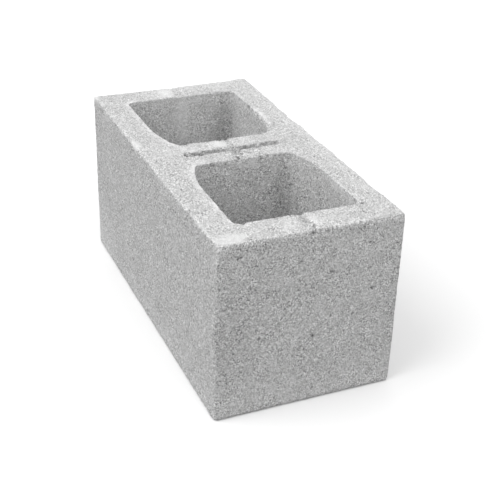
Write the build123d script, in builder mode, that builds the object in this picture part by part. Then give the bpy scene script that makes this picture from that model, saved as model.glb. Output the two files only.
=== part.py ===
from build123d import *
import os
from math import atan, degrees

# Hollow concrete masonry block with two cores and plain ends, cast in one piece.
# X runs along the block, Y across it and Z up, from the centre of the bottom bed.
# It stands as it left its mould: the wide mouths of the cores are on top.

# Outside of the block
length = 396.9
width = 193.7
height = 193.7
corner_radius = 2.5
arris_radius = 1.2

# Walls, measured on the top bed where they are thinnest
face_shell = 31.3
end_web = 35.25
centre_web = 55.5

# Cores: each wall leans in by the draft from top to bottom, so that the block leaves its mould
core_draft = 4.8
end_corner_radius = 7.0
web_corner_radius = 8.0
mouth_radius = 0.6

# Flare: each face shell thickens in a curve where it meets the centre web
flare_length = 58.0
flare_depth = 13.0

# Score: two blind grooves in the top of the centre web, to split the block in half
score_width = 9.5
score_length = 45.5
score_gap = 17.0
score_depth = 12.7
score_draft = 1.2
score_corner_radius = 2.5

# Bar mark: the shallow strip that the mould's core bar leaves along the webs
bar_mark_width = 10.5
bar_mark_floor = 8.5
bar_mark_depth = 2.5

# A cut that runs out of the block goes this far past its face
overrun = 5.0

os.makedirs("parts", exist_ok=True)

core_inner = centre_web / 2
core_outer = length / 2 - end_web
core_half_width = width / 2 - face_shell
flare_start = core_inner + flare_length
core_angle = degrees(atan(core_draft / height))

score_centre = (score_gap + score_length) / 2
score_angle = degrees(atan(score_draft / score_depth))

# The top bed looking down into the block, for the cuts that narrow as they go deeper
top_bed_down = Plane(origin=(0, 0, height), x_dir=(1, 0, 0), z_dir=(0, 0, -1))

with BuildPart() as block:
    # Solid outside, with its upright corners eased and its arrises worn
    with BuildSketch():
        RectangleRounded(length, width, corner_radius)
    extrude(amount=height)
    arrises = block.edges().group_by(Axis.Z)[0] + block.edges().group_by(Axis.Z)[-1]
    fillet(arrises, radius=arris_radius)

    # Two cores, mirrored about the centre web
    with BuildSketch(top_bed_down) as core_mouths:
        with BuildLine():
            Polyline(
                (core_outer, 0),
                (core_outer, core_half_width),
                (flare_start, core_half_width),
            )
            TangentArc(
                (flare_start, core_half_width),
                (core_inner, core_half_width - flare_depth),
                tangent=(-1, 0),
            )
            Line((core_inner, core_half_width - flare_depth), (core_inner, 0))
            mirror(about=Plane.XZ)
        make_face()
        fillet(core_mouths.vertices().group_by(Axis.X)[0], radius=web_corner_radius)
        fillet(core_mouths.vertices().group_by(Axis.X)[-1], radius=end_corner_radius)
        mirror(about=Plane.YZ)
    extrude(amount=height + overrun, taper=core_angle, mode=Mode.SUBTRACT)

    # The mouths of the cores keep a sharper edge, in both beds
    beds = block.faces().filter_by(Axis.Z).sort_by(Axis.Z)
    mouth_wires = beds[0].inner_wires() + beds[-1].inner_wires()
    fillet(mouth_wires.edges(), radius=mouth_radius)

    # Score in the centre web, on both sides of the bar mark
    with BuildSketch(top_bed_down):
        with Locations((0, score_centre), (0, -score_centre)):
            RectangleRounded(score_width, score_length, score_corner_radius)
    extrude(amount=score_depth, taper=score_angle, mode=Mode.SUBTRACT)

    # Bar mark along the middle of the end webs and the centre web
    with BuildSketch(Plane.YZ):
        with BuildLine():
            Polyline(
                (-bar_mark_width / 2, height + overrun),
                (-bar_mark_width / 2, height),
                (-bar_mark_floor / 2, height - bar_mark_depth),
                (bar_mark_floor / 2, height - bar_mark_depth),
                (bar_mark_width / 2, height),
                (bar_mark_width / 2, height + overrun),
                close=True,
            )
        make_face()
    extrude(amount=length / 2 + overrun, both=True, mode=Mode.SUBTRACT)

block.part.label = "block"
export_step(block.part, "parts/block.step")
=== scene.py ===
"""Studio picture of a hollow concrete block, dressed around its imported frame.

The block is one cast piece.  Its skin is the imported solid, recast on a fine lattice, worn along its
arrises, knocked, pitted and roughened, and thinned again where it stays flat.
"""
import logging
from dataclasses import dataclass, field
from enum import Enum
from math import radians

import bmesh
import bpy
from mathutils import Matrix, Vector, kdtree, noise


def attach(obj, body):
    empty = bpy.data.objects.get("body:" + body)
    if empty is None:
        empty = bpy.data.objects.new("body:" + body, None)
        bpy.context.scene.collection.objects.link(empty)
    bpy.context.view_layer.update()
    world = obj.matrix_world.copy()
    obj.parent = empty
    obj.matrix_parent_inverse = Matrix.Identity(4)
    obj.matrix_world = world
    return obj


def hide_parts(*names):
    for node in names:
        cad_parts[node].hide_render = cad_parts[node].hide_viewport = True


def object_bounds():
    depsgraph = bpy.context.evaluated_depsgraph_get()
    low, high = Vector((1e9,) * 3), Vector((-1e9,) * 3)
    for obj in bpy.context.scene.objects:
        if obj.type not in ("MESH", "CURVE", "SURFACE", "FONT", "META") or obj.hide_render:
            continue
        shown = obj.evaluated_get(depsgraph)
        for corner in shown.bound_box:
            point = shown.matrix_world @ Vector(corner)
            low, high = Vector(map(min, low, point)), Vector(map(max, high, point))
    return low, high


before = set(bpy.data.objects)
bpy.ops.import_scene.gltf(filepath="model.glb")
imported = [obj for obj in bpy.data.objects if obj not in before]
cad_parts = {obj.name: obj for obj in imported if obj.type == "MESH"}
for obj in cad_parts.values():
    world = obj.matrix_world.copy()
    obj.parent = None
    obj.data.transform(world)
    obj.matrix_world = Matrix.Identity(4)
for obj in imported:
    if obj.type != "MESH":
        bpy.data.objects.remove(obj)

LOG = logging.getLogger("concrete_block")

# Lengths are in millimetres unless a line says otherwise, and are made metres with this
MM = 0.001

CAD_BOX: tuple[Vector, Vector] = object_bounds()
TOP = CAD_BOX[1].z / MM
NEAR_END = CAD_BOX[1].x / MM
FAR_END = CAD_BOX[0].x / MM
RIGHT = CAD_BOX[1].y / MM
BODY = "root"
BLOCK_NODE = "block"

Socket = bpy.types.NodeSocket
Feed = Socket | float
Triple = tuple[float, float, float]


class Mark(Enum):
    """What happened to a spot of the skin, and the painted shade and light it holds, each kept as an
    attribute that the finish reads.
    """

    WEAR = "wear"
    # Painted shade in holes, grooves, core corners and on crumbled rims, and darker stains
    SHADE_AND_STAIN = "hollow"
    # Pale paste, and in a few places painted light
    PASTE = "paste"
    BED = "bed"


def clamped(value: float, least: float = 0.0, most: float = 1.0) -> float:
    """Keep a value between two ends."""
    return min(max(value, least), most)


def layered(point: Vector, size: float, layers: int) -> float:
    """Give a point a random value about zero.

    Args:
        point: A point of the skin.
        size: Size of the pattern.
        layers: How many layers it has, each half the size of the one before.

    Returns:
        The value.
    """
    falloff = 1.0
    step = 2.0
    return noise.fractal(point / size, falloff, step, layers)


def blotchy(point: Vector, size: float, mean: float, spread: float, most: float = 1.0) -> float:
    """Give a point a value that comes and goes in soft blotches.

    Args:
        point: A point of the skin.
        size: Size of the blotches.
        mean: Mean value.
        spread: How far the value goes to either side.
        most: The most that it gives.

    Returns:
        The value, never less than zero.
    """
    return clamped(mean + spread * noise.noise(point / size), 0.0, most)


@dataclass(frozen=True)
class Patch:
    """One rounded patch of the skin with a ragged edge.

    Attributes:
        place: Its middle.
        reach: How far it goes along X, Y and Z.
    """

    place: Triple
    reach: Triple

    @property
    def wander(self) -> float:
        """How far the edge strays."""
        stray_share = 0.25
        return stray_share * min(self.reach)

    @property
    def span(self) -> float:
        """Radius of a ball that holds the whole patch."""
        return max(self.reach) + self.wander

    def cover(self, point: Vector) -> float:
        """How deep inside the patch a point lies.

        Args:
            point: A point of the skin.

        Returns:
            From one in the middle down to zero at the edge.
        """
        ragged_size = 2.2
        astray = point + noise.noise_vector(point / ragged_size) * self.wander
        ways = zip(astray, self.place, self.reach)
        share = sum(((at - middle) / reach) ** 2 for at, middle, reach in ways)
        return max(1.0 - share * share, 0.0)


@dataclass(frozen=True)
class Chip(Patch):
    """One knock or air hole in the cast surface.

    Attributes:
        depth: Depth at its middle.
        shade: How dark its floor is, one for a plain hole: painted shade in a knock or hole, and where it
            has no depth, a stain or painted shade.
    """

    depth: float
    shade: float


@dataclass(frozen=True)
class Smear(Patch):
    """One pale patch: mostly a smear of paste, in a few places painted light.

    Attributes:
        strength: How pale it is, up to one.
    """

    strength: float = 1.0


@dataclass(frozen=True)
class Guard(Patch):
    """One stretch of the arrises that wore less than the rest, or more.

    Attributes:
        keep: How much less it wore, or more if it is less than zero.
    """

    keep: float


@dataclass(frozen=True)
class Scatter:
    """Spots spread over the skin, one at most in each cell of a random pattern.

    Attributes:
        spacing: Size of a cell.
        share: Share of the cells that hold a spot.
        radius: Radius of the largest spot.
        depth: Depth of the largest spot.
        shade: Painted shade on the floor of a spot, up to one.
        ragged: How far the edge of a spot wanders.
    """

    spacing: float
    share: float
    radius: float
    depth: float = 1.0
    shade: float = 0.0
    ragged: float = 0.5

    def cover(self, point: Vector) -> float:
        """How deep inside a spot a point lies.

        Args:
            point: A point of the skin.

        Returns:
            From one in the middle of a large spot down to zero between the spots.
        """
        ragged_size = 1.7
        cell_spread = 97.0
        least_size = 0.4
        astray = point + noise.noise_vector(point / ragged_size) * self.ragged
        distances, centres = noise.voronoi(astray / self.spacing)
        chance = 0.5 + 0.5 * noise.cell(centres[0] * cell_spread)
        if chance > self.share:
            return 0.0
        size = least_size + (1.0 - least_size) * chance / self.share
        share = distances[0] * self.spacing / (self.radius * size)
        if share >= 1.0:
            return 0.0
        return size * (1.0 - share ** 3)


@dataclass(frozen=True)
class BarMark:
    """The strip that the mould's core bar leaves along the webs, half filled with loose lumps.

    Attributes:
        half_width: Half its width.
        depth: Depth of its floor below the top bed.
        left: Depth that the lumps leave open.
        cross_left: The same where the strip crosses the score.
        cross: Half the length of that crossing.
        far_left: The same on the far end web, where the strip is almost full.
        far_start: Where that web starts along X.
        near_end: Where the centre web ends, whose near half is darkest.
        lumps: Height of the lumps.
        lump_size: Size of the lumps.
        shade: How dark the lumps are, partly their grey rubble and partly painted shade among them.
    """

    half_width: float = 5.7
    depth: float = 2.5
    left: float = 1.2
    cross_left: float = 3.2
    cross: float = 5.5
    far_left: float = 0.6
    far_start: float = -150.0
    near_end: float = 30.0
    lumps: float = 1.0
    lump_size: float = 3.4
    shade: float = 0.55

    def holds(self, point: Vector) -> bool:
        """Tell whether a point lies in the strip."""
        slack = 0.6
        brim = 0.18
        return abs(point.y) < self.half_width and TOP - self.depth - slack < point.z < TOP - brim

    def lift(self, point: Vector) -> float:
        """Height that the lumps add at a point.

        Args:
            point: A point of the skin in the strip.

        Returns:
            The height.
        """
        brim = 0.15
        layers = 3
        left = self.far_left if point.x < self.far_start else self.left
        if abs(point.x) < self.cross:
            left = self.cross_left
        level = TOP - left + self.lumps * layered(point, self.lump_size, layers)
        return max(min(level, TOP - brim) - point.z, 0.0)

    def darkness(self, point: Vector) -> float:
        """How dark the lumps are at a point of the strip, partly grey rubble and partly painted shade.

        Args:
            point: A point of the skin in the strip.

        Returns:
            The darkness, up to one.
        """
        near_share = 1.15
        web_share = 0.4
        edge = 2.5
        share = self.far_left / self.left if point.x < self.far_start else web_share
        if 0.0 < point.x < self.near_end:
            share = near_share
        inside = clamped((self.half_width - abs(point.y)) / edge)
        blotch = blotchy(point, self.lump_size, mean=0.65, spread=1.1, most=1.4)
        return self.shade * share * inside * blotch


@dataclass(frozen=True)
class Score:
    """The two blind grooves that let the centre web be split, with crumbled lips.

    Attributes:
        half_width: Half the width of a groove.
        start: Where a groove starts, measured from the middle of the web.
        end: Where it ends.
        depth: Depth of a groove.
        lip: Width of the crumbled lip.
        stray: How far the lip wanders to the sides.
        shade: Painted shade inside a groove.
        right_share: How dark the groove on the +Y side is, against the other.
        fade: Length over which that groove fades out at its end.
        sharp: How far a lip that isn't worn is drawn out to an edge.
    """

    half_width: float = 4.75
    start: float = 8.5
    end: float = 54.0
    depth: float = 14.0
    lip: float = 3.0
    stray: float = 1.8
    shade: float = 0.1
    right_share: float = 0.5
    fade: float = 10.0
    sharp: float = 0.3

    def beside(self, point: Vector) -> float:
        """Distance of a point from the nearer groove, less than zero inside it."""
        return max(abs(point.x) - self.half_width, self.start - abs(point.y), abs(point.y) - self.end)

    def holds(self, point: Vector) -> bool:
        """Tell whether a point lies on a lip."""
        return abs(self.beside(point)) < self.lip and point.z > TOP - self.lip

    def crumble(self, point: Vector, fine: float) -> float:
        """How much of its possible wear a lip has lost.

        Args:
            point: A point of a lip.
            fine: A fine random value about zero.

        Returns:
            The share, less than zero where the lip is drawn out.
        """
        near_mean = 0.3
        far_mean = -0.3
        most = 1.2
        mean = near_mean if point.x > 0.0 else far_mean
        return clamped(mean + fine, -self.sharp, most)

    def wander(self, point: Vector) -> float:
        """How far a lip has wandered along X at a point.

        Args:
            point: A point of the skin.

        Returns:
            The way to move the point.
        """
        crumb_size = 4.0
        layers = 2
        near = clamped(1.0 - abs(self.beside(point)) / self.lip)
        return self.stray * near * layered(point, crumb_size, layers)

    def darkness(self, point: Vector) -> float:
        """Painted shade in a groove, or in the gap between the grooves, at a point.

        Args:
            point: A point of the skin.

        Returns:
            The darkness, up to one.
        """
        gap_share = 0.9
        edge = 0.8
        aside = max(abs(point.x) - self.half_width, abs(point.y) - self.end)
        if point.z < TOP - self.depth or aside > edge:
            return 0.0
        share = clamped((edge - aside) / edge)
        if abs(point.y) < self.start:
            share *= gap_share
        if point.y > self.start:
            share *= self.right_share * clamped((self.end - point.y) / self.fade)
        blotch = blotchy(point, self.lip, mean=1.0, spread=0.9, most=2.0)
        return self.shade * share * blotch


@dataclass(frozen=True)
class CoreMouths:
    """The rims of the two cores, which keep their edge but crumble on the core's side.

    Attributes:
        inner: Where the centre web's rims are, measured from the middle along X.
        outer: Where the end webs' rims are.
        half_width: Where the face shells' rims are, measured along Y.
        slack: How far past those places a rim reaches.
        height: Height of a rim.
        sharp: How far a rim that isn't worn is drawn out to an edge.
        shade: Painted shade on the crumbled side.
        web_reach: How far from the middle along Y the webs' rims reach.
        left_paste: How pale the rims of the -Y face shell are.
        right_paste: How pale the rims of the +Y face shell are.
        calm: How much less grain and how many fewer holes the walls inside have.
    """

    inner: float = 27.75
    outer: float = 163.2
    half_width: float = 65.55
    slack: float = 4.0
    height: float = 5.0
    sharp: float = 0.3
    shade: float = 0.25
    web_reach: float = 50.0
    left_paste: float = 1.4
    right_paste: float = 0.15
    calm: float = 0.5

    def spans(self, point: Vector) -> bool:
        """Tell whether a point lies on a rim or anywhere inside a core."""
        along = self.inner - self.slack < abs(point.x) < self.outer + self.slack
        return along and abs(point.y) < self.half_width + self.slack

    def holds(self, point: Vector) -> bool:
        """Tell whether a point lies on a rim or just inside a core."""
        return self.spans(point) and point.z > TOP - self.height

    def paste(self, point: Vector) -> float:
        """How pale the rim is at a point, which the webs' rims are not."""
        if abs(point.y) < self.web_reach:
            return 0.0
        return self.left_paste if point.y < 0.0 else self.right_paste

    def crumble(self, fine: float, spall: float) -> float:
        """How much of its possible wear a rim has lost.

        Args:
            fine: A fine random value about zero.
            spall: How deep inside a spall the rim is, up to one.

        Returns:
            The share, less than zero where the rim is drawn out.
        """
        mean = -0.45
        fine_share = 1.6
        most = 1.6
        return clamped(mean + fine_share * fine + spall, -self.sharp, most)

    def darkness(self, point: Vector, normal: Vector) -> float:
        """Painted shade on a rim's crumbled side at a point.

        Args:
            point: A point of a rim.
            normal: The skin's outward direction there.

        Returns:
            The darkness, up to one.
        """
        if abs(point.y) > self.web_reach:
            return 0.0
        crumb_size = 3.0
        flat = 0.93
        steep = 0.6
        side = clamped((flat - normal.z) / (flat - steep))
        high = clamped(1.0 - (TOP - point.z) / self.height)
        return self.shade * side * high * blotchy(point, crumb_size, mean=0.8, spread=0.8)


@dataclass
class ConcreteBlock:
    """The cast block.

    Attributes:
        voxel: Size of the lattice that the solid is recast on.
        triangles: Most triangles that the thinned skin keeps.
        fold: Angle between two faces past which the skin is folded, in degrees.
        unfold_rounds: Most rounds of smoothing that open the folds.
        wear_rounds: Rounds of smoothing that show how far an arris can wear.
        wear: Share of that wear which the arrises have lost.
        top_wear: How much more the outer arrises of the top bed wear.
        top_height: Height of those arrises.
        grain: Depth of the grain of the skin.
        grain_size: Size of that grain.
        bed_smooth: How much less grain the top bed has.
        warp: How far the sides are out of true.
        warp_size: Size of that warp.
        rim_reach: How far the pale rim of the top bed reaches from its arrises.
        rim_paste: How pale that rim is, against a full smear of paste.
        bar: The bar mark along the webs.
        score: The grooves in the centre web.
        mouths: The rims of the cores.
        guards: Stretches of the arrises that wore less or more.
        pits: Small and large air holes all over.
        spalls: Places along the arrises that crumbled further.
        flecks: Pale flecks along the outer arrises.
        rim_chips: Knocks out of the rims of the top bed.
        web_chips: Knocks and holes in the top of the centre web.
        stains_and_shade: Knocks without depth: darker stains on the top bed, and painted shade in the
            core corners, beside the near end's -Y upright arris and along the score and bar strip.
        bed_pits: Air holes in the rest of the top bed, by X, Y and radius.
        end_pores: Air holes in the near end, by Y, Z, half width and half height.
        smears_and_lights: Pale patches: smears of paste, and painted light inside the far core, on the
            foot of the -Y face's far end and in the score's grooves.
    """

    voxel: float = 1.0
    triangles: int = 194000
    fold: float = 90.0
    unfold_rounds: int = 16
    wear_rounds: int = 20
    wear: float = 0.55
    top_wear: float = 0.42
    top_height: float = 6.0
    grain: float = 0.2
    grain_size: float = 6.0
    bed_smooth: float = 0.7
    warp: float = 0.35
    warp_size: float = 40.0
    rim_reach: float = 6.0
    rim_paste: float = 0.25
    bar: BarMark = BarMark()
    score: Score = Score()
    mouths: CoreMouths = CoreMouths()
    guards: tuple[Guard, ...] = (
        Guard((FAR_END, RIGHT, TOP), (50.0, 22.0, 15.0), 1.6),
        Guard((FAR_END, 0.0, TOP), (12.0, 95.0, 12.0), -1.2),
        Guard((NEAR_END, 0.0, 0.0), (12.0, 130.0, 12.0), -1.2),
        Guard((NEAR_END, 0.0, TOP), (12.0, 90.0, 12.0), -0.3),
        Guard((FAR_END, -17.5, TOP), (12.0, 6.0, 12.0), -1.0),
        Guard((FAR_END, 44.0, TOP), (12.0, 14.0, 12.0), -0.6),
        Guard((-132.0, RIGHT, TOP), (38.0, 12.0, 12.0), 0.6),
        Guard((-88.0, RIGHT, TOP), (9.0, 12.0, 12.0), -0.5),
        Guard((-60.0, RIGHT, TOP), (12.0, 12.0, 12.0), -1.6),
        Guard((-29.0, RIGHT, TOP), (8.0, 12.0, 12.0), 0.8),
        Guard((38.0, RIGHT, TOP), (14.0, 12.0, 12.0), 0.5),
        Guard((131.0, RIGHT, TOP), (18.0, 12.0, 12.0), -1.2),
        Guard((163.2, -6.0, TOP), (6.0, 9.0, 6.0), 1.5),
        Guard((-163.2, 5.0, TOP), (6.0, 62.0, 6.0), 0.5),
    )
    pits: tuple[Scatter, ...] = (
        Scatter(spacing=9.0, share=0.25, radius=1.5, depth=1.0, shade=0.5),
        Scatter(spacing=29.0, share=0.2, radius=2.2, depth=1.6, shade=0.8, ragged=0.8),
    )
    spalls: Scatter = Scatter(spacing=11.0, share=0.3, radius=3.4, ragged=1.2)
    flecks: Scatter = Scatter(spacing=7.0, share=0.4, radius=2.4, ragged=1.2)
    rim_chips: tuple[Chip, ...] = (
        Chip((198.6, 0.0, 190.3), (3.4, 2.5, 3.0), 3.4, 1.0),
        Chip((198.0, 6.5, 192.5), (3.0, 3.5, 2.0), 1.0, 0.4),
        Chip((162.0, 1.5, 193.0), (4.0, 3.5, 4.0), 1.0, 0.3),
        Chip((163.5, -57.0, TOP), (3.5, 3.0, 3.0), 1.5, 0.5),
        Chip((160.5, 63.5, TOP), (3.5, 3.5, 4.0), 2.5, 0.7),
        Chip((164.0, 68.5, TOP), (2.5, 4.0, 3.0), 2.0, 0.9),
        Chip((NEAR_END, 78.0, 192.8), (4.0, 18.0, 3.0), 0.9, 0.3),
        Chip((199.0, -97.5, 193.0), (6.0, 6.0, 6.0), 1.6, 0.0),
        Chip((124.5, -96.8, 192.5), (3.0, 2.5, 3.0), 1.6, 0.7),
        Chip((-198.6, 0.5, TOP), (6.0, 4.5, 5.0), 2.6, 0.0),
        Chip((-110.0, 66.0, 190.0), (4.0, 3.0, 4.0), 1.2, 0.7),
        Chip((-90.0, 66.0, TOP), (6.0, 2.5, 4.0), 1.2, 0.0),
        Chip((-76.0, 66.0, TOP), (8.0, 3.5, 4.0), 2.2, 0.0),
        Chip((-61.0, 64.5, TOP), (5.0, 3.0, 4.0), 1.8, 0.1),
        Chip((-28.5, 0.0, 194.0), (3.0, 54.0, 3.0), 0.6, 0.0),
        Chip((-29.0, -46.0, TOP), (4.5, 6.0, 4.0), 1.4, 0.1),
        Chip((-29.5, -4.5, TOP), (5.0, 8.0, 4.0), 1.8, 0.1),
        Chip((-29.0, -18.0, TOP), (4.0, 8.0, 4.0), 0.9, 0.1),
        Chip((28.5, -4.0, 193.0), (4.0, 5.0, 5.0), 0.9, 0.1),
        Chip((28.0, 31.0, TOP), (3.5, 4.0, 3.0), 1.2, 0.4),
        Chip((28.5, -24.0, TOP), (3.0, 3.0, 3.0), 1.2, 0.3),
    )
    web_chips: tuple[Chip, ...] = (
        Chip((0.0, -6.5, 190.5), (4.6, 4.5, 9.0), 5.0, 0.3),
        Chip((0.5, 2.5, 191.2), (7.5, 9.0, 6.0), 2.4, 0.9),
        Chip((1.0, -6.5, 191.0), (3.0, 2.0, 8.0), 1.0, 1.2),
        Chip((4.5, -11.0, 191.0), (3.5, 2.2, 8.0), 1.0, 1.2),
        Chip((6.5, 1.5, 192.0), (4.0, 7.0, 4.0), 1.5, 0.9),
        Chip((-1.0, 16.5, 190.0), (3.5, 2.2, 8.0), 1.0, 1.2),
        Chip((-24.0, 2.8, 193.0), (4.0, 2.0, 4.0), 1.8, 1.0),
        Chip((20.5, -2.5, 192.0), (4.0, 2.2, 4.0), 2.6, 1.8),
        Chip((11.0, -0.5, 192.0), (3.5, 2.4, 4.0), 1.8, 0.9),
        Chip((14.0, 3.5, 192.5), (4.0, 1.7, 4.0), 1.6, 1.3),
        Chip((16.0, 13.5, 193.2), (2.6, 2.2, 3.0), 1.6, 1.2),
        Chip((12.0, 10.5, 193.2), (2.6, 2.0, 3.0), 1.2, 0.8),
        Chip((25.5, -1.0, 192.0), (3.0, 4.5, 4.0), 1.0, 0.6),
        Chip((0.0, -52.5, 190.0), (4.5, 2.6, 6.0), 1.5, 1.8),
        Chip((4.0, -32.0, 191.0), (3.0, 3.5, 6.0), 1.0, 0.9),
        Chip((5.5, -38.0, 191.0), (3.0, 3.0, 6.0), 1.4, 0.9),
        Chip((-0.5, -18.0, 191.0), (3.0, 2.5, 6.0), 1.0, 0.9),
    )
    stains_and_shade: tuple[Chip, ...] = (
        # Painted shade on the near end beside its -Y upright arris, and in the inside corners of the near
        # and far cores
        Chip((NEAR_END, -84.0, 92.0), (6.0, 34.0, 80.0), 0.0, 0.2),
        Chip((30.0, 46.0, 136.0), (9.0, 14.0, 48.0), 0.0, 0.36),
        Chip((-159.0, 52.0, 145.0), (9.0, 17.0, 40.0), 0.0, 0.5),
        # Darker stains on the top bed
        Chip((5.0, 79.0, TOP), (22.0, 9.0, 4.0), 0.0, 0.18),
        Chip((184.0, 52.0, TOP), (10.0, 10.0, 4.0), 0.0, 0.15),
        Chip((64.0, -76.0, TOP), (30.0, 8.0, 4.0), 0.0, 0.15),
        Chip((-160.0, -71.0, TOP), (26.0, 6.0, 4.0), 0.0, 0.2),
        Chip((13.0, -38.0, TOP), (6.0, 16.0, 4.0), 0.0, 0.15),
        # Darker bar strip on the near web, partly grey rubble and partly painted shade
        Chip((174.0, 0.5, 193.0), (11.0, 4.2, 4.0), 0.0, 0.85),
        # Painted shade where the +Y groove fades out and where its lips close it
        Chip((0.0, 56.5, TOP), (4.0, 3.0, 4.0), 0.0, 0.4),
        Chip((0.0, 28.0, 192.0), (4.0, 4.0, 6.0), 0.0, 0.8),
        # Darker crossing and bar strip, partly grey rubble and partly painted shade
        Chip((-5.5, 3.5, 193.0), (4.5, 6.5, 4.0), 0.0, 0.6),
        Chip((23.0, 2.0, 193.0), (6.0, 4.0, 4.0), 0.0, 0.45),
    )
    bed_pits: tuple[Triple, ...] = (
        (180.0, 61.0, 2.2),
        (194.0, -63.0, 2.4),
        (-177.0, -58.0, 2.0),
        (-190.0, -70.0, 2.2),
        (-189.0, -50.0, 1.8),
    )
    end_pores: tuple[tuple[float, float, float, float], ...] = (
        (47.1, 92.2, 1.5, 1.5),
        (4.7, 76.6, 1.3, 2.6),
        (67.0, 117.6, 3.4, 1.2),
        (20.4, 145.0, 1.9, 1.1),
        (60.0, 168.6, 1.6, 1.6),
        (-93.3, 148.2, 1.4, 1.8),
        (-19.9, 157.4, 1.6, 1.3),
        (-28.8, 84.5, 1.4, 1.4),
        (-51.7, 86.5, 1.4, 1.4),
        (-13.3, 131.3, 2.2, 1.1),
        (-75.4, 176.8, 1.6, 1.6),
        (-72.5, 178.3, 1.4, 1.4),
    )
    smears_and_lights: tuple[Smear, ...] = (
        Smear((-15.5, -8.0, 193.0), (9.5, 9.5, 6.0), 1.2),
        Smear((-19.0, -21.0, 193.5), (6.0, 7.0, 5.0), 0.5),
        Smear((179.0, 9.5, TOP), (13.0, 5.0, 5.0), 0.6),
        Smear((-180.0, -12.0, TOP), (16.0, 12.0, 5.0), 1.2),
        Smear((188.0, -79.0, TOP), (12.0, 20.0, 5.0), 0.9),
        Smear((184.0, -20.0, TOP), (12.0, 13.0, 5.0), 0.4),
        Smear((182.0, 22.0, TOP), (13.0, 9.0, 5.0), 0.35),
        Smear((-10.0, -27.0, TOP), (4.0, 27.0, 4.0), 0.4),
        Smear((-11.5, 19.0, TOP), (5.0, 12.0, 4.0), 0.4),
        Smear((-20.0, 19.0, TOP), (5.0, 9.0, 4.0), 0.25),
        Smear((13.0, 38.0, TOP), (5.0, 13.0, 4.0), 0.25),
        Smear((-10.0, -68.0, TOP), (13.0, 7.0, 4.0), 0.45),
        Smear((-42.0, -94.5, TOP), (16.0, 5.0, 5.0)),
        Smear((22.0, -44.0, TOP), (8.0, 7.0, 5.0), 0.5),
        Smear((-8.0, -43.0, TOP), (5.0, 7.0, 5.0), 0.7),
        Smear((-96.0, 68.0, 193.5), (7.0, 3.0, 4.0), 0.9),
        Smear((-83.0, 69.0, 193.5), (7.0, 3.0, 4.0), 1.2),
        Smear((-68.0, 69.0, 193.5), (6.0, 3.0, 4.0), 1.0),
        Smear((-55.0, 66.0, 193.5), (5.0, 3.0, 4.0), 0.8),
        Smear((26.0, 46.0, TOP), (4.0, 8.0, 5.0), 0.4),
        Smear((-17.0, -50.0, TOP), (7.0, 3.5, 5.0), 0.9),
        Smear((-198.0, -96.0, TOP), (14.0, 6.0, 8.0), 0.9),
        Smear((-161.5, 2.0, 165.0), (8.0, 11.0, 42.0), 0.65),
        Smear((118.0, 65.0, 188.5), (45.0, 4.0, 5.0), 0.55),
        Smear((-118.0, 65.0, 188.5), (45.0, 4.0, 5.0), 0.4),
        # Painted bounce light from the floor, paler towards the foot of the -Y face's far end
        Smear((-198.0, -97.0, 25.0), (80.0, 6.0, 55.0), 0.3),
        Smear((27.5, 12.0, 187.0), (4.0, 7.0, 8.0), 0.7),
        # Painted light that lifts the shade in the score's grooves beside the crossing and at the +Y
        # groove's end
        Smear((0.0, -12.5, 187.0), (5.5, 4.0, 9.0), 0.7),
        Smear((0.0, 10.5, 187.0), (5.5, 4.0, 9.0), 0.7),
        Smear((0.0, 49.0, 187.0), (5.5, 9.0, 9.0), 0.8),
        Smear((178.0, -8.5, TOP), (14.0, 4.0, 4.0), 0.4),
        Smear((-190.0, -3.0, TOP), (7.0, 5.0, 5.0), 0.9),
        Smear((-20.0, 90.0, TOP), (210.0, 13.0, 5.0), 0.25),
        Smear((0.0, 97.0, 193.5), (205.0, 6.0, 4.5), 0.6),
        Smear((-55.0, 90.0, TOP), (32.0, 9.0, 5.0), 0.3),
        Smear((-187.0, 15.0, TOP), (15.0, 80.0, 5.0), 0.36),
        Smear((-163.0, 5.0, 189.0), (4.0, 60.0, 7.0), 0.35),
        # Painted light that makes the far core paler inside
        Smear((-95.0, 0.0, 150.0), (110.0, 90.0, 46.0), 0.35),
    )
    skin: bpy.types.Object | None = field(default=None, init=False)

    def build(self) -> bpy.types.Object:
        """Make the block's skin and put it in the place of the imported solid.

        Returns:
            The finished piece.
        """
        solid = self._cast()
        recast = self._recast(solid)
        self._weather(recast)
        skin = self._thinned(recast)
        self._unfold(skin)
        self._keep_inside(skin)
        self.skin = bpy.data.objects.new("block_skin", skin)
        bpy.context.scene.collection.objects.link(self.skin)
        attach(self.skin, BODY)
        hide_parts(BLOCK_NODE)
        return self.skin

    def dress(self, finish: "ConcreteFinish") -> None:
        """Give the skin its finish.

        Args:
            finish: The finish of the concrete.
        """
        self.skin.data.materials.clear()
        self.skin.data.materials.append(finish.material())

    def _cast(self) -> bpy.types.Mesh:
        """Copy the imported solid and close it.

        Returns:
            The solid as one closed mesh.
        """
        merge = 0.01
        shape = bmesh.new()
        shape.from_mesh(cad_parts[BLOCK_NODE].data)
        bmesh.ops.remove_doubles(shape, verts=shape.verts, dist=merge * MM)
        mesh = bpy.data.meshes.new("block_cast")
        shape.to_mesh(mesh)
        shape.free()
        return mesh

    def _recast(self, solid: bpy.types.Mesh) -> bpy.types.Mesh:
        """Recast the solid on an even lattice.

        Args:
            solid: The closed solid.

        Returns:
            The recast mesh.
        """
        lump = bpy.data.objects.new("block_lump", solid)
        bpy.context.scene.collection.objects.link(lump)
        lattice = lump.modifiers.new("lattice", "REMESH")
        lattice.mode = "VOXEL"
        lattice.voxel_size = self.voxel * MM
        mesh = self._applied(lump)
        LOG.info("recast skin has %d corners", len(mesh.vertices))
        return mesh

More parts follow.
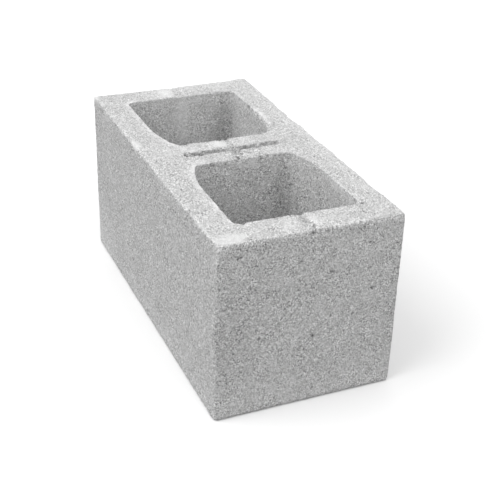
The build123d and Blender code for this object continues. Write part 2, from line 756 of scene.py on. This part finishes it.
    def _thinned(self, recast: bpy.types.Mesh) -> bpy.types.Mesh:
        """Take corners away where the skin stays flat.

        Args:
            recast: The weathered lattice.

        Returns:
            The thinned mesh, smooth shaded.
        """
        lump = bpy.data.objects.new("block_rough", recast)
        bpy.context.scene.collection.objects.link(lump)
        recast.calc_loop_triangles()
        thin = lump.modifiers.new("thin", "DECIMATE")
        thin.ratio = self.triangles / len(recast.loop_triangles)
        mesh = self._applied(lump)
        mesh.name = "block_skin"
        mesh.shade_smooth()
        mesh.calc_loop_triangles()
        LOG.info("skin has %d triangles", len(mesh.loop_triangles))
        return mesh

    @staticmethod
    def _applied(lump: bpy.types.Object) -> bpy.types.Mesh:
        """Apply an object's modifiers to a new mesh, and remove the object.

        Args:
            lump: The object with its modifiers.

        Returns:
            The finished mesh.
        """
        graph = bpy.context.evaluated_depsgraph_get()
        mesh = bpy.data.meshes.new_from_object(lump.evaluated_get(graph))
        bpy.data.objects.remove(lump)
        return mesh

    def _unfold(self, mesh: bpy.types.Mesh) -> None:
        """Smooth the few spots where a knock has folded the skin over itself.

        Args:
            mesh: The thinned skin, which is changed.
        """
        shape = bmesh.new()
        shape.from_mesh(mesh)
        for _ in range(self.unfold_rounds):
            faces = [face for edge in self._folds(shape) for end in edge.verts for face in end.link_faces]
            corners = dict.fromkeys(corner for face in faces for corner in face.verts)
            self._smooth(shape, list(corners))
        LOG.info("%d edges are still folded", len(self._folds(shape)))
        shape.to_mesh(mesh)
        shape.free()

    def _folds(self, shape: bmesh.types.BMesh) -> list[bmesh.types.BMEdge]:
        """Find the edges where a shape is folded.

        Args:
            shape: The shape, whose normals are worked out again.

        Returns:
            The folded edges.
        """
        limit = radians(self.fold)
        shape.normal_update()
        return [edge for edge in shape.edges if edge.calc_face_angle(0.0) > limit]

    @staticmethod
    def _smooth(shape: bmesh.types.BMesh, corners: list[bmesh.types.BMVert]) -> None:
        """Smooth corners of a shape once.

        Args:
            shape: The shape, which is changed.
            corners: The corners that move.
        """
        half_way = 0.5
        bmesh.ops.smooth_vert(
            shape, verts=corners, factor=half_way, use_axis_x=True, use_axis_y=True, use_axis_z=True
        )

    @staticmethod
    def _keep_inside(mesh: bpy.types.Mesh) -> None:
        """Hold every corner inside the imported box.

        Args:
            mesh: The mesh, which is changed.
        """
        low, high = CAD_BOX
        for corner in mesh.vertices:
            corner.co = [clamped(*reach) for reach in zip(corner.co, low, high)]

    def _weather(self, recast: bpy.types.Mesh) -> None:
        """Wear the arrises, pit the faces and roughen the marks of the mould.

        Args:
            recast: The even lattice, which is changed.
        """
        least_loss = 0.02
        grain_layers = 3
        shape = bmesh.new()
        shape.from_mesh(recast)
        points = [corner.co / MM for corner in shape.verts]
        tree = self._tree(points)
        losses = self._losses(shape)
        depths, shades = self._knocks(points, tree)
        pastes_and_lights = self._pastes_and_lights(shape, points, losses, tree)
        marks = {mark: shape.verts.layers.float.new(mark.value) for mark in Mark}
        for index, corner in enumerate(shape.verts):
            point = points[index]
            normal = corner.normal
            worn_away = Vector()
            if losses[index].dot(normal) < -least_loss:
                worn_away = losses[index] * self._crumble(point)
            rough = clamped(0.5 + 0.5 * layered(point, self.grain_size, grain_layers))
            bed = clamped(normal.z)
            grain = self.grain * rough * (1.0 - self.bed_smooth * bed)
            if self.mouths.spans(point):
                grain *= self.mouths.calm
            else:
                grain += self._warp(point, normal)
            moved = point + worn_away - normal * (depths[index] + grain)
            moved.x += self.score.wander(point)
            # Painted shade in the score's grooves, kept with the knocks' painted shade and stains
            shade = max(shades[index], self.score.darkness(point))
            if self.bar.holds(point):
                moved.z += self.bar.lift(point)
                # The bar strip's lumps: grey rubble, partly painted shade
                shade = max(shade, self.bar.darkness(point))
            elif self.mouths.holds(point):
                # Painted shade on the crumbled side of the core rims
                shade = max(shade, self.mouths.darkness(point, normal))
            corner.co = moved * MM
            corner[marks[Mark.WEAR]] = worn_away.length if worn_away.dot(normal) < 0.0 else 0.0
            # The darker mark: painted shade and stains
            corner[marks[Mark.SHADE_AND_STAIN]] = shade
            # The pale mark: paste, and painted light
            corner[marks[Mark.PASTE]] = pastes_and_lights[index]
            corner[marks[Mark.BED]] = bed
        shape.to_mesh(recast)
        shape.free()

    def _warp(self, point: Vector, normal: Vector) -> float:
        """How far a side is out of true at a point.

        Args:
            point: A point of the skin.
            normal: The skin's outward direction there.

        Returns:
            The way inwards, zero on the beds.
        """
        fade = 1.5
        upright = clamped(1.0 - fade * abs(normal.z))
        return self.warp * upright * blotchy(point, self.warp_size, mean=0.5, spread=0.8)

    @staticmethod
    def _tree(points: list[Vector]) -> kdtree.KDTree:
        """Put points in a tree that finds the nearest ones."""
        tree = kdtree.KDTree(len(points))
        for index, point in enumerate(points):
            tree.insert(point, index)
        tree.balance()
        return tree

    def _losses(self, shape: bmesh.types.BMesh) -> list[Vector]:
        """Find how far each corner of the lattice can wear.

        Args:
            shape: The even lattice.

        Returns:
            For each corner, its way to where smoothing would take it.
        """
        worn = shape.copy()
        for _ in range(self.wear_rounds):
            self._smooth(worn, list(worn.verts))
        losses = [(smooth.co - corner.co) / MM for corner, smooth in zip(shape.verts, worn.verts)]
        worn.free()
        return losses

    def _knocks(self, points: list[Vector], tree: kdtree.KDTree) -> tuple[list[float], list[float]]:
        """Find how deep the knocks and air holes are, and the painted shade on their floors.

        Args:
            points: The corners of the lattice.
            tree: The same corners in a tree.

        Returns:
            The depth and the darkness at each corner.
        """
        depths = []
        shades = []
        for point in points:
            calm = self.mouths.calm if self.mouths.spans(point) else 1.0
            covers = [(pit, calm * pit.cover(point)) for pit in self.pits]
            depths.append(sum(pit.depth * cover for pit, cover in covers))
            shades.append(max(pit.shade * cover for pit, cover in covers))
        chips = self.rim_chips + self.web_chips + self.stains_and_shade + tuple(self._air_holes())
        for chip in chips:
            for place, index, _ in tree.find_range(chip.place, chip.span):
                cover = chip.cover(place)
                depths[index] += chip.depth * cover
                shades[index] = max(shades[index], chip.shade * cover)
        LOG.info("%d knocks and air holes have places of their own", len(chips))
        return depths, shades

    def _air_holes(self) -> list[Chip]:
        """Make the air holes of the top bed and of the near end.

        Returns:
            The air holes.
        """
        depth = 1.6
        # Painted shade on the floors of the air holes
        bed_shade = 0.9
        end_shade = 1.4
        holes = []
        for x, y, radius in self.bed_pits:
            holes.append(Chip((x, y, TOP), (radius, radius, depth), depth, bed_shade))
        for y, z, half_width, half_height in self.end_pores:
            holes.append(Chip((NEAR_END, y, z), (depth, half_width, half_height), depth, end_shade))
        return holes

    def _pastes_and_lights(
        self,
        shape: bmesh.types.BMesh,
        points: list[Vector],
        losses: list[Vector],
        tree: kdtree.KDTree,
    ) -> list[float]:
        """Find the pale marks: patchy rims of paste along the arrises of the top bed, and smears, a few
        of them painted light.

        Args:
            shape: The even lattice.
            points: Its corners.
            losses: How far each corner can wear.
            tree: The corners in a tree.

        Returns:
            For each corner, from zero up to one in a full smear.
        """
        arris_loss = 0.5
        arris_height = 3.0
        least_lean = 0.5
        patch_size = 9.0
        low = TOP - arris_height
        edges = [
            point
            for point, loss in zip(points, losses)
            if point.z > low and loss.length > arris_loss and not self._crumbled(point)
        ]
        arrises = self._tree(edges)
        pastes_and_lights = []
        for corner, point, loss in zip(shape.verts, points, losses):
            if point.z < low or corner.normal.z < least_lean:
                worn = loss.length > arris_loss and not self.mouths.spans(point)
                pastes_and_lights.append(self.flecks.cover(point) if worn else 0.0)
                continue
            spot, _, gap = arrises.find(point)
            pale = self.mouths.paste(spot) if self.mouths.holds(spot) else self.rim_paste
            patchy = blotchy(point, patch_size, mean=0.6, spread=0.9)
            pastes_and_lights.append(pale * patchy * clamped(1.0 - gap / self.rim_reach))
        for smear in self.smears_and_lights:
            for place, index, _ in tree.find_range(smear.place, smear.span):
                pastes_and_lights[index] = max(pastes_and_lights[index], smear.strength * smear.cover(place))
        LOG.info("top arrises have %d corners", len(edges))
        return pastes_and_lights

    def _crumbled(self, point: Vector) -> bool:
        """Tell whether a point lies by the score or the bar mark, which have no pale rims."""
        slack = 3.0
        return self.score.beside(point) < slack or abs(point.y) < self.bar.half_width + slack

    def _crumble(self, point: Vector) -> float:
        """How much of its possible wear an arris has lost at a point.

        Args:
            point: A point of the skin.

        Returns:
            The share, less than zero where a rim is drawn out.
        """
        broad_size = 13.0
        broad_share = 0.4
        fine_size = 3.0
        fine_share = 0.6
        spall_share = 0.8
        layers = 2
        most = 2.4
        fine = layered(point, fine_size, layers)
        spall = self.spalls.cover(point)
        kept = sum(guard.keep * guard.cover(point) for guard in self.guards)
        if self.mouths.holds(point):
            return self.mouths.crumble(fine, spall - kept)
        if self.score.holds(point):
            return self.score.crumble(point, fine)
        broad = layered(point, broad_size, layers)
        share = self.wear + broad_share * broad + fine_share * fine + spall_share * spall
        if point.z > TOP - self.top_height:
            share += self.top_wear
        return clamped(share - kept, 0.0, most)


class NodeBench:
    """Lays nodes into a tree and joins them."""

    def __init__(self, tree: bpy.types.NodeTree) -> None:
        """Start on a tree.

        Args:
            tree: The tree that the nodes go into.
        """
        self.tree = tree

    def feed(self, inlet: Socket, value: Feed) -> None:
        """Join an inlet to a socket, or set its number.

        Args:
            inlet: The inlet to feed.
            value: A socket or a number.
        """
        if isinstance(value, bpy.types.NodeSocket):
            self.tree.links.new(value, inlet)
        else:
            inlet.default_value = value

    def math(self, operation: str, first: Feed, second: Feed) -> Socket:
        """Work out two values.

        Args:
            operation: The name of the sum.
            first: Its first value.
            second: Its second value.

        Returns:
            The result.
        """
        node = self.tree.nodes.new("ShaderNodeMath")
        node.operation = operation
        self.feed(node.inputs[0], first)
        self.feed(node.inputs[1], second)
        return node.outputs[0]

    def total(self, *values: Feed) -> Socket:
        """Add several values up.

        Args:
            values: The values.

        Returns:
            Their sum.
        """
        result = values[0]
        for value in values[1:]:
            result = self.math("ADD", result, value)
        return result

    def ramp(self, value: Feed, start: float, end: float, low: Feed = 0.0, high: Feed = 1.0) -> Socket:
        """Turn a stretch of a value into another stretch, smoothly and held at both ends.

        Args:
            value: The value.
            start: Where the stretch starts.
            end: Where it ends.
            low: What it gives at the start.
            high: What it gives at the end.

        Returns:
            The turned value.
        """
        node = self.tree.nodes.new("ShaderNodeMapRange")
        node.interpolation_type = "SMOOTHSTEP"
        self.feed(node.inputs["Value"], value)
        self.feed(node.inputs["From Min"], start)
        self.feed(node.inputs["From Max"], end)
        self.feed(node.inputs["To Min"], low)
        self.feed(node.inputs["To Max"], high)
        return node.outputs["Result"]

    def swing(self, value: Socket, reach: Feed) -> Socket:
        """Spread a value from zero to one evenly about zero.

        Args:
            value: The value.
            reach: The whole spread.

        Returns:
            The value less a half, times the spread.
        """
        return self.math("MULTIPLY", self.math("SUBTRACT", value, 0.5), reach)

    def noise(self, place: Socket, size: float, detail: float = 2.0) -> bpy.types.Node:
        """Lay a cloudy pattern.

        Args:
            place: Where the pattern is read.
            size: Size of its clouds.
            detail: How many finer layers it has.

        Returns:
            The node.
        """
        node = self.tree.nodes.new("ShaderNodeTexNoise")
        self.feed(node.inputs["Vector"], place)
        node.inputs["Scale"].default_value = 1.0 / (size * MM)
        node.inputs["Detail"].default_value = detail
        return node

    def grains(self, place: Socket, size: float) -> bpy.types.Node:
        """Lay a pattern of separate grains.

        Args:
            place: Where the pattern is read.
            size: Size of a grain.

        Returns:
            The node.
        """
        node = self.tree.nodes.new("ShaderNodeTexVoronoi")
        self.feed(node.inputs["Vector"], place)
        node.inputs["Scale"].default_value = 1.0 / (size * MM)
        return node

    def shade(self, grains: bpy.types.Node) -> Socket:
        """Give each grain of a pattern a random value of its own."""
        parts = self.tree.nodes.new("ShaderNodeSeparateColor")
        self.tree.links.new(grains.outputs["Color"], parts.inputs["Color"])
        return parts.outputs["Red"]

    def mark(self, mark: Mark) -> Socket:
        """Read one of the skin's marks."""
        node = self.tree.nodes.new("ShaderNodeAttribute")
        node.attribute_name = mark.value
        return node.outputs["Fac"]

    def height(self, place: Socket) -> Socket:
        """Take the height out of a place."""
        parts = self.tree.nodes.new("ShaderNodeSeparateXYZ")
        self.tree.links.new(place, parts.inputs["Vector"])
        return parts.outputs["Z"]

    def astray(self, place: Socket, size: float, reach: float) -> Socket:
        """Move the places that a pattern is read at, so that its shapes turn ragged.

        Args:
            place: The places.
            size: Size of the wander.
            reach: How far it goes.

        Returns:
            The moved places.
        """
        wander = self.noise(place, size)
        node = self.tree.nodes.new("ShaderNodeVectorMath")
        node.operation = "MULTIPLY_ADD"
        self.tree.links.new(wander.outputs["Color"], node.inputs[0])
        node.inputs[1].default_value = (reach * MM, reach * MM, reach * MM)
        self.tree.links.new(place, node.inputs[2])
        return node.outputs["Vector"]


@dataclass(frozen=True)
class ConcreteFinish:
    """Bare light grey concrete with an open, sandy face.

    Attributes:
        albedo: Mean brightness of the concrete.
        darkest: Least brightness of a grain, as a share of the mean.
        sand_size: Size of the coarse sand.
        sand_shade: Spread of its brightness.
        dust_size: Size of the fine sand.
        dust_shade: Spread of its brightness.
        side_life: How lively the sand is on the sides.
        bed_life: The same on the top bed.
        ragged_size: Size of the wander that makes the grains ragged.
        ragged_reach: How far that wander goes.
        patch_size: Size of the patches where the sand is livelier or calmer.
        patch_life: How lively the calmest and the liveliest patch are.
        pore_spacing: Distance between open pores.
        pore_edge: Where the edge of a pore starts and ends, as shares of that distance.
        pore_rarity: Share of the cells that hold no pore.
        pore_shade: How far the painted shade in a pore darkens it.
        mottle_size: Size of the broad pale and dark patches.
        mottle_shade: Spread of their brightness.
        mottle_rough: Spread of their roughness.
        paste_and_light_gain: How much paler a full pale mark makes the skin, for paste and painted light
            alike.
        paste_life: How lively the sand is in a full smear.
        shade_and_stain_loss: How much darker a full darker mark makes the skin, for painted shade and
            stains alike.
        wear_gain: How much paler a worn arris is.
        wear_reach: Wear at which an arris starts to turn pale, and at which it is palest.
        bounce_height: Height of the painted bounce light at the foot.
        bounce_gain: How much paler the painted bounce light makes the foot.
        relief: Height of the sand in the bump.
        dust_relief: Height of the fine sand, against the coarse.
        pore_relief: Depth of a pore, against the height of the coarse sand.
        roughness: Mean roughness.
        gloss: Strength of the plain reflection.
    """

    albedo: float = 0.52
    darkest: float = 0.2
    sand_size: float = 1.5
    sand_shade: float = 0.6
    dust_size: float = 0.7
    dust_shade: float = 1.1
    side_life: float = 1.0
    bed_life: float = 0.85
    ragged_size: float = 1.6
    ragged_reach: float = 1.0
    patch_size: float = 14.0
    patch_life: tuple[float, float] = (0.75, 1.15)
    pore_spacing: float = 4.4
    pore_edge: tuple[float, float] = (0.05, 0.17)
    pore_rarity: float = 0.45
    pore_shade: float = 0.46
    mottle_size: float = 30.0
    mottle_shade: float = 0.16
    mottle_rough: float = 0.12
    paste_and_light_gain: float = 0.27
    paste_life: float = 0.4
    shade_and_stain_loss: float = 0.42
    wear_gain: float = 0.03
    wear_reach: tuple[float, float] = (0.2, 1.2)
    bounce_height: float = 45.0
    bounce_gain: float = 0.08
    relief: float = 0.45
    dust_relief: float = 0.5
    pore_relief: float = 1.6
    roughness: float = 0.92
    gloss: float = 0.2

    def material(self) -> bpy.types.Material:
        """Build the material.

        Returns:
            The finished material.
        """
        material = bpy.data.materials.new("cast_concrete")
        material.use_nodes = True
        bench = NodeBench(material.node_tree)
        shader = material.node_tree.nodes["Principled BSDF"]
        shader.inputs["Specular IOR Level"].default_value = self.gloss
        place = bench.tree.nodes.new("ShaderNodeTexCoord").outputs["Object"]
        ragged = bench.astray(place, self.ragged_size, self.ragged_reach)
        sand = bench.grains(ragged, self.sand_size)
        dust = bench.grains(ragged, self.dust_size)
        pores = self._pores(bench, ragged)
        mottle = bench.noise(place, self.mottle_size, detail=4.0).outputs["Fac"]
        life = self._life(bench, place)
        speckle = bench.total(
            bench.swing(bench.shade(sand), self.sand_shade),
            bench.swing(bench.shade(dust), self.dust_shade),
        )
        tone = bench.total(
            1.0,
            bench.math("MULTIPLY", speckle, life),
            bench.swing(mottle, self.mottle_shade),
            # Pale paste, and painted light where a smear stands for it
            bench.math("MULTIPLY", bench.mark(Mark.PASTE), self.paste_and_light_gain),
            # Painted shade in the open pores
            bench.math("MULTIPLY", pores, -self.pore_shade),
            # Painted shade in holes, grooves, corners and on crumbled rims, and darker stains
            bench.math("MULTIPLY", bench.mark(Mark.SHADE_AND_STAIN), -self.shade_and_stain_loss),
            bench.ramp(bench.mark(Mark.WEAR), *self.wear_reach, 0.0, self.wear_gain),
            # Painted bounce light from the floor, paler towards the foot
            bench.ramp(bench.height(place), 0.0, self.bounce_height * MM, self.bounce_gain, 0.0),
        )
        colour = bench.math("MULTIPLY", bench.math("MAXIMUM", tone, self.darkest), self.albedo)
        bench.feed(shader.inputs["Base Color"], colour)
        height = bench.total(
            bench.math("MULTIPLY", sand.outputs["Distance"], -1.0),
            bench.math("MULTIPLY", dust.outputs["Distance"], -self.dust_relief),
            bench.math("MULTIPLY", pores, -self.pore_relief),
        )
        bump = bench.tree.nodes.new("ShaderNodeBump")
        bump.inputs["Distance"].default_value = self.relief * MM
        bump.inputs["Strength"].default_value = 1.0
        bench.feed(bump.inputs["Height"], bench.math("MULTIPLY", height, life))
        bench.feed(shader.inputs["Normal"], bump.outputs["Normal"])
        rough = bench.math("ADD", bench.swing(mottle, self.mottle_rough), self.roughness)
        bench.feed(shader.inputs["Roughness"], rough)
        return material

    def _life(self, bench: NodeBench, place: Socket) -> Socket:
        """How lively the sand is: less in a smear and on the top bed, and more or less in patches.

        Args:
            bench: The bench of the material.
            place: Where the pattern is read.

        Returns:
            About one, and less where the skin is calm.
        """
        patches = bench.noise(place, self.patch_size, detail=3.0).outputs["Fac"]
        patchy = bench.ramp(patches, 0.38, 0.62, *self.patch_life)
        facing = bench.ramp(bench.mark(Mark.BED), 0.2, 0.9, self.side_life, self.bed_life)
        smooth = bench.ramp(bench.mark(Mark.PASTE), 0.0, 1.0, 1.0, self.paste_life)
        return bench.math("MULTIPLY", patchy, bench.math("MULTIPLY", smooth, facing))

    def _pores(self, bench: NodeBench, place: Socket) -> Socket:
        """Open pores between the grains.

        Args:
            bench: The bench of the material.
            place: Where the pattern is read.

        Returns:
            One in a pore, zero outside.
        """
        cells = bench.grains(place, self.pore_spacing)
        near = bench.ramp(cells.outputs["Distance"], *self.pore_edge, 1.0, 0.0)
        chosen = bench.ramp(bench.shade(cells), self.pore_rarity, 1.0)
        return bench.math("MULTIPLY", near, chosen)


@dataclass(frozen=True)
class Lamp:
    """One soft lamp far away.

    Attributes:
        name: Its name.
        source: Direction that it shines from.
        strength: Its strength.
        angle: Angle that it fills, in degrees.
    """

    name: str
    source: Triple
    strength: float
    angle: float = 50.0

    def build(self) -> None:
        """Hang the lamp."""
        lamp = bpy.data.lights.new(self.name, "SUN")
        lamp.energy = self.strength
        lamp.angle = radians(self.angle)
        holder = bpy.data.objects.new(self.name, lamp)
        holder.rotation_euler = Vector(self.source).to_track_quat("Z", "Y").to_euler()
        bpy.context.scene.collection.objects.link(holder)


@dataclass(frozen=True)
class Studio:
    """Pale floor, white surroundings and three soft lamps.

    Attributes:
        floor_span: Side of the floor, in metres.
        floor_seen: Brightness of the floor as it is seen.
        floor_bounce: Brightness of the floor as it lights the block.
        sky_strength: Strength of the white surroundings as light.
        lamps: The lamps.
    """

    floor_span: float = 30.0
    floor_seen: float = 0.92
    floor_bounce: float = 0.25
    sky_strength: float = 0.725
    lamps: tuple[Lamp, ...] = (
        Lamp("key", (0.0, -0.7, 0.7), 1.46),
        Lamp("fill", (0.7, 0.0, 0.7), 0.79),
        Lamp("back", (-0.5, 0.0, 0.85), 0.24),
    )

    def build(self) -> None:
        """Set the stage and its light."""
        self._floor()
        self._surroundings()
        for lamp in self.lamps:
            lamp.build()

    @staticmethod
    def _seen(bench: NodeBench) -> Socket:
        """Tell rays that show a thing from rays that only light others.

        Args:
            bench: The bench of the material or of the world.

        Returns:
            One for a ray from the camera, a mirror or glass, zero otherwise.
        """
        path = bench.tree.nodes.new("ShaderNodeLightPath")
        seen = path.outputs["Is Camera Ray"]
        for ray in ("Is Glossy Ray", "Is Transmission Ray"):
            seen = bench.math("MAXIMUM", seen, path.outputs[ray])
        return seen

    def _floor(self) -> None:
        """Lay the floor under the block."""
        shape = bmesh.new()
        bmesh.ops.create_grid(shape, x_segments=1, y_segments=1, size=self.floor_span / 2)
        mesh = bpy.data.meshes.new("floor")
        shape.to_mesh(mesh)
        shape.free()
        floor = bpy.data.objects.new("floor", mesh)
        bpy.context.scene.collection.objects.link(floor)
        material = bpy.data.materials.new("pale_floor")
        material.use_nodes = True
        bench = NodeBench(material.node_tree)
        shader = material.node_tree.nodes["Principled BSDF"]
        tone = bench.ramp(self._seen(bench), 0.0, 1.0, self.floor_bounce, self.floor_seen)
        bench.feed(shader.inputs["Base Color"], tone)
        shader.inputs["Roughness"].default_value = 1.0
        shader.inputs["Specular IOR Level"].default_value = 0.0
        mesh.materials.append(material)

    def _surroundings(self) -> None:
        """Make the surroundings white to the camera, and plain soft light to the block."""
        world = bpy.data.worlds.new("surroundings")
        world.use_nodes = True
        bpy.context.scene.world = world
        bench = NodeBench(world.node_tree)
        background = world.node_tree.nodes["Background"]
        background.inputs["Color"].default_value = (1.0, 1.0, 1.0, 1.0)
        strength = bench.ramp(self._seen(bench), 0.0, 1.0, self.sky_strength, 1.0)
        bench.feed(background.inputs["Strength"], strength)


@dataclass(frozen=True)
class PhotoCamera:
    """The photograph's camera, fitted to the block's corners.

    Attributes:
        place: Where it stands.
        turn: Its turn about X, Y and Z, in degrees.
        lens: Focal length over a sensor of the given width.
        sensor: Width of that sensor.
    """

    place: Triple = (955.65, -401.0, 640.4)
    turn: Triple = (61.1907, -1.5467, 66.8843)
    lens: float = 76.083
    sensor: float = 36.0

    def build(self) -> None:
        """Set up the camera and make it the scene's."""
        camera = bpy.data.cameras.new("photo_camera")
        camera.lens = self.lens
        camera.sensor_width = self.sensor
        holder = bpy.data.objects.new("photo_camera", camera)
        holder.location = Vector(self.place) * MM
        holder.rotation_euler = tuple(radians(angle) for angle in self.turn)
        bpy.context.scene.collection.objects.link(holder)
        bpy.context.scene.camera = holder


def main() -> None:
    """Build the picture in order."""
    logging.basicConfig(level=logging.INFO, format="%(message)s")
    bpy.context.scene.view_settings.view_transform = "Standard"
    PhotoCamera().build()
    Studio().build()
    block = ConcreteBlock()
    piece = block.build()
    block.dress(ConcreteFinish())
    LOG.info("%s stands for %s", piece.name, BLOCK_NODE)


if __name__ == "__main__":
    main()
